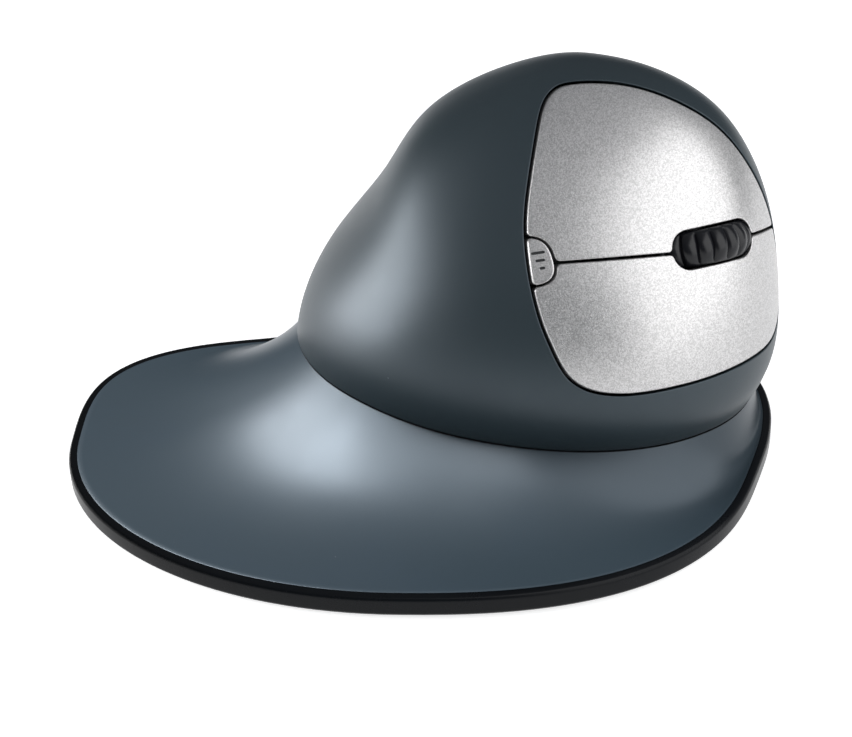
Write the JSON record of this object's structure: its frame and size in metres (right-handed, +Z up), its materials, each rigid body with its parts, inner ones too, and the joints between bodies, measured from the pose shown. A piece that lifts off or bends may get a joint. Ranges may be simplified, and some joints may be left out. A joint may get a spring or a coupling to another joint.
{
  "type": "vertical ergonomic mouse",
  "caption": "Right-hand vertical mouse: a hand-high leaning hump with hinged finger keys, a scroll wheel, small side keys and a wide flared hand rest on a flat base.",
  "frame": {"origin": "on the desk, under the middle of the whole mouse", "axes": "+X to the finger side, +Y to the nose, +Z up"},
  "size_m": [0.0926, 0.1328, 0.072],
  "materials": {
    "soft_shell": "satin soft-touch",
    "silver_key": "metallic satin",
    "soft_brim": "satin soft-touch",
    "black_rim": "semi-gloss",
    "black_base": "fine texture",
    "glide_foot": "slick",
    "wheel_hub": "satin",
    "wheel_tyre": "ribbed matte",
    "mechanism": "moulded",
    "encoder_green": "moulded",
    "switch_black": "moulded",
    "plunger_red": "gloss",
    "tact_grey": "moulded",
    "tact_cream": "gloss",
    "board_green": "solder mask",
    "screw_steel": "zinc",
    "bright_steel": "bright",
    "chip_black": "moulded",
    "lens_clear": "clear",
    "lamp_red": "clear tinted",
    "slider_grey": "gloss",
    "battery_wrap": "foil wrap",
    "ribbon_tan": "film"
  },
  "bodies": {
    "housing": {"body_shell": "soft_shell", "brim_cover": "soft_brim", "rim_band": "black_rim", "base_plate": "black_base", "glide_feet": "glide_foot", "wheel_switch": "tact_grey", "key_chassis": "mechanism", "hinge_pin": "bright_steel", "switch_board": "board_green", "upper_switch": "switch_black", "lower_switch": "switch_black", "sensitivity_switch": "tact_grey", "board_screws": "screw_steel", "chassis_screws": "screw_steel", "thumb_bracket": "mechanism", "thumb_board": "board_green", "thumb_front_switch": "tact_grey", "thumb_rear_switch": "tact_grey", "thumb_screws": "screw_steel", "main_board": "board_green", "main_screws": "screw_steel", "sensor_chip": "chip_black", "sensor_lens": "lens_clear", "sensor_lamp": "lamp_red", "radio_chip": "chip_black", "power_switch": "switch_black", "battery_pack": "battery_wrap", "battery_tray": "mechanism", "port_board": "board_green", "port_screws": "screw_steel", "charge_socket": "bright_steel", "ribbon_cable": "ribbon_tan", "case_screws": "screw_steel"},
    "upper_key_lever": {"upper_key": "silver_key", "upper_hinge": "mechanism"},
    "lower_key_lever": {"lower_key": "silver_key", "lower_hinge": "mechanism"},
    "upper_click": {"upper_plunger": "plunger_red"},
    "lower_click": {"lower_plunger": "plunger_red"},
    "sensitivity_button": {"sensitivity_key": "silver_key", "sensitivity_stem": "tact_cream"},
    "wheel_carriage": {"scroll_carriage": "mechanism", "scroll_encoder": "encoder_green", "wheel_switch_stem": "tact_cream"},
    "wheel": {"scroll_wheel": "wheel_hub", "scroll_tyre": "wheel_tyre"},
    "thumb_front_button": {"thumb_front_key": "soft_shell", "thumb_front_stem": "tact_cream"},
    "thumb_rear_button": {"thumb_rear_key": "soft_shell", "thumb_rear_stem": "tact_cream"},
    "power_knob": {"power_slider": "slider_grey"}
  },
  "joints": [
    {"name": "upper_key_press", "type": "hinge", "parent": "housing", "child": "upper_key_lever", "pos_m": [-0.00083, 0.02524, 0.04285], "axis": [-0.4854, -0.17, 0.8576], "range_deg": [0, 1.24], "stiffness_Nm_per_rad": 0.6, "springref_deg": -1.15},
    {"name": "lower_key_press", "type": "hinge", "parent": "housing", "child": "lower_key_lever", "pos_m": [-0.00083, 0.02524, 0.04285], "axis": [-0.4854, -0.17, 0.8576], "range_deg": [0, 1.24], "stiffness_Nm_per_rad": 0.6, "springref_deg": -1.15},
    {"name": "upper_plunger_press", "type": "slide", "parent": "housing", "child": "upper_click", "axis": [-0.7094, -0.4967, -0.5], "range_m": [0, 0.0005]},
    {"name": "lower_plunger_press", "type": "slide", "parent": "housing", "child": "lower_click", "axis": [-0.7094, -0.4967, -0.5], "range_m": [0, 0.0005]},
    {"name": "sensitivity_press", "type": "slide", "parent": "housing", "child": "sensitivity_button", "axis": [-0.7094, -0.4967, -0.5], "range_m": [0, 0.0004], "stiffness_N_per_m": 1500, "springref_m": -0.0005},
    {"name": "wheel_press", "type": "slide", "parent": "housing", "child": "wheel_carriage", "axis": [-0.7094, -0.4967, -0.5], "range_m": [0, 0.0004], "stiffness_N_per_m": 2500, "springref_m": -0.0005},
    {"name": "wheel_spin", "type": "hinge", "parent": "wheel_carriage", "child": "wheel", "pos_m": [-0.00233, 0.04957, 0.04682], "axis": [-0.4854, -0.17, 0.8576], "continuous": true},
    {"name": "thumb_front_press", "type": "slide", "parent": "housing", "child": "thumb_front_button", "axis": [0.9703, -0.2419, 0], "range_m": [0, 0.0004], "stiffness_N_per_m": 1800, "springref_m": -0.0005},
    {"name": "thumb_rear_press", "type": "slide", "parent": "housing", "child": "thumb_rear_button", "axis": [0.9703, -0.2419, 0], "range_m": [0, 0.0004], "stiffness_N_per_m": 1800, "springref_m": -0.0005},
    {"name": "power_slide", "type": "slide", "parent": "housing", "child": "power_knob", "axis": [0.2419, 0.9703, 0], "range_m": [0, 0.003]}
  ],
  "couplings": [
    {"joint": "upper_plunger_press", "follows": "upper_key_press", "m_per_rad": 0.023},
    {"joint": "lower_plunger_press", "follows": "lower_key_press", "m_per_rad": 0.023}
  ]
}
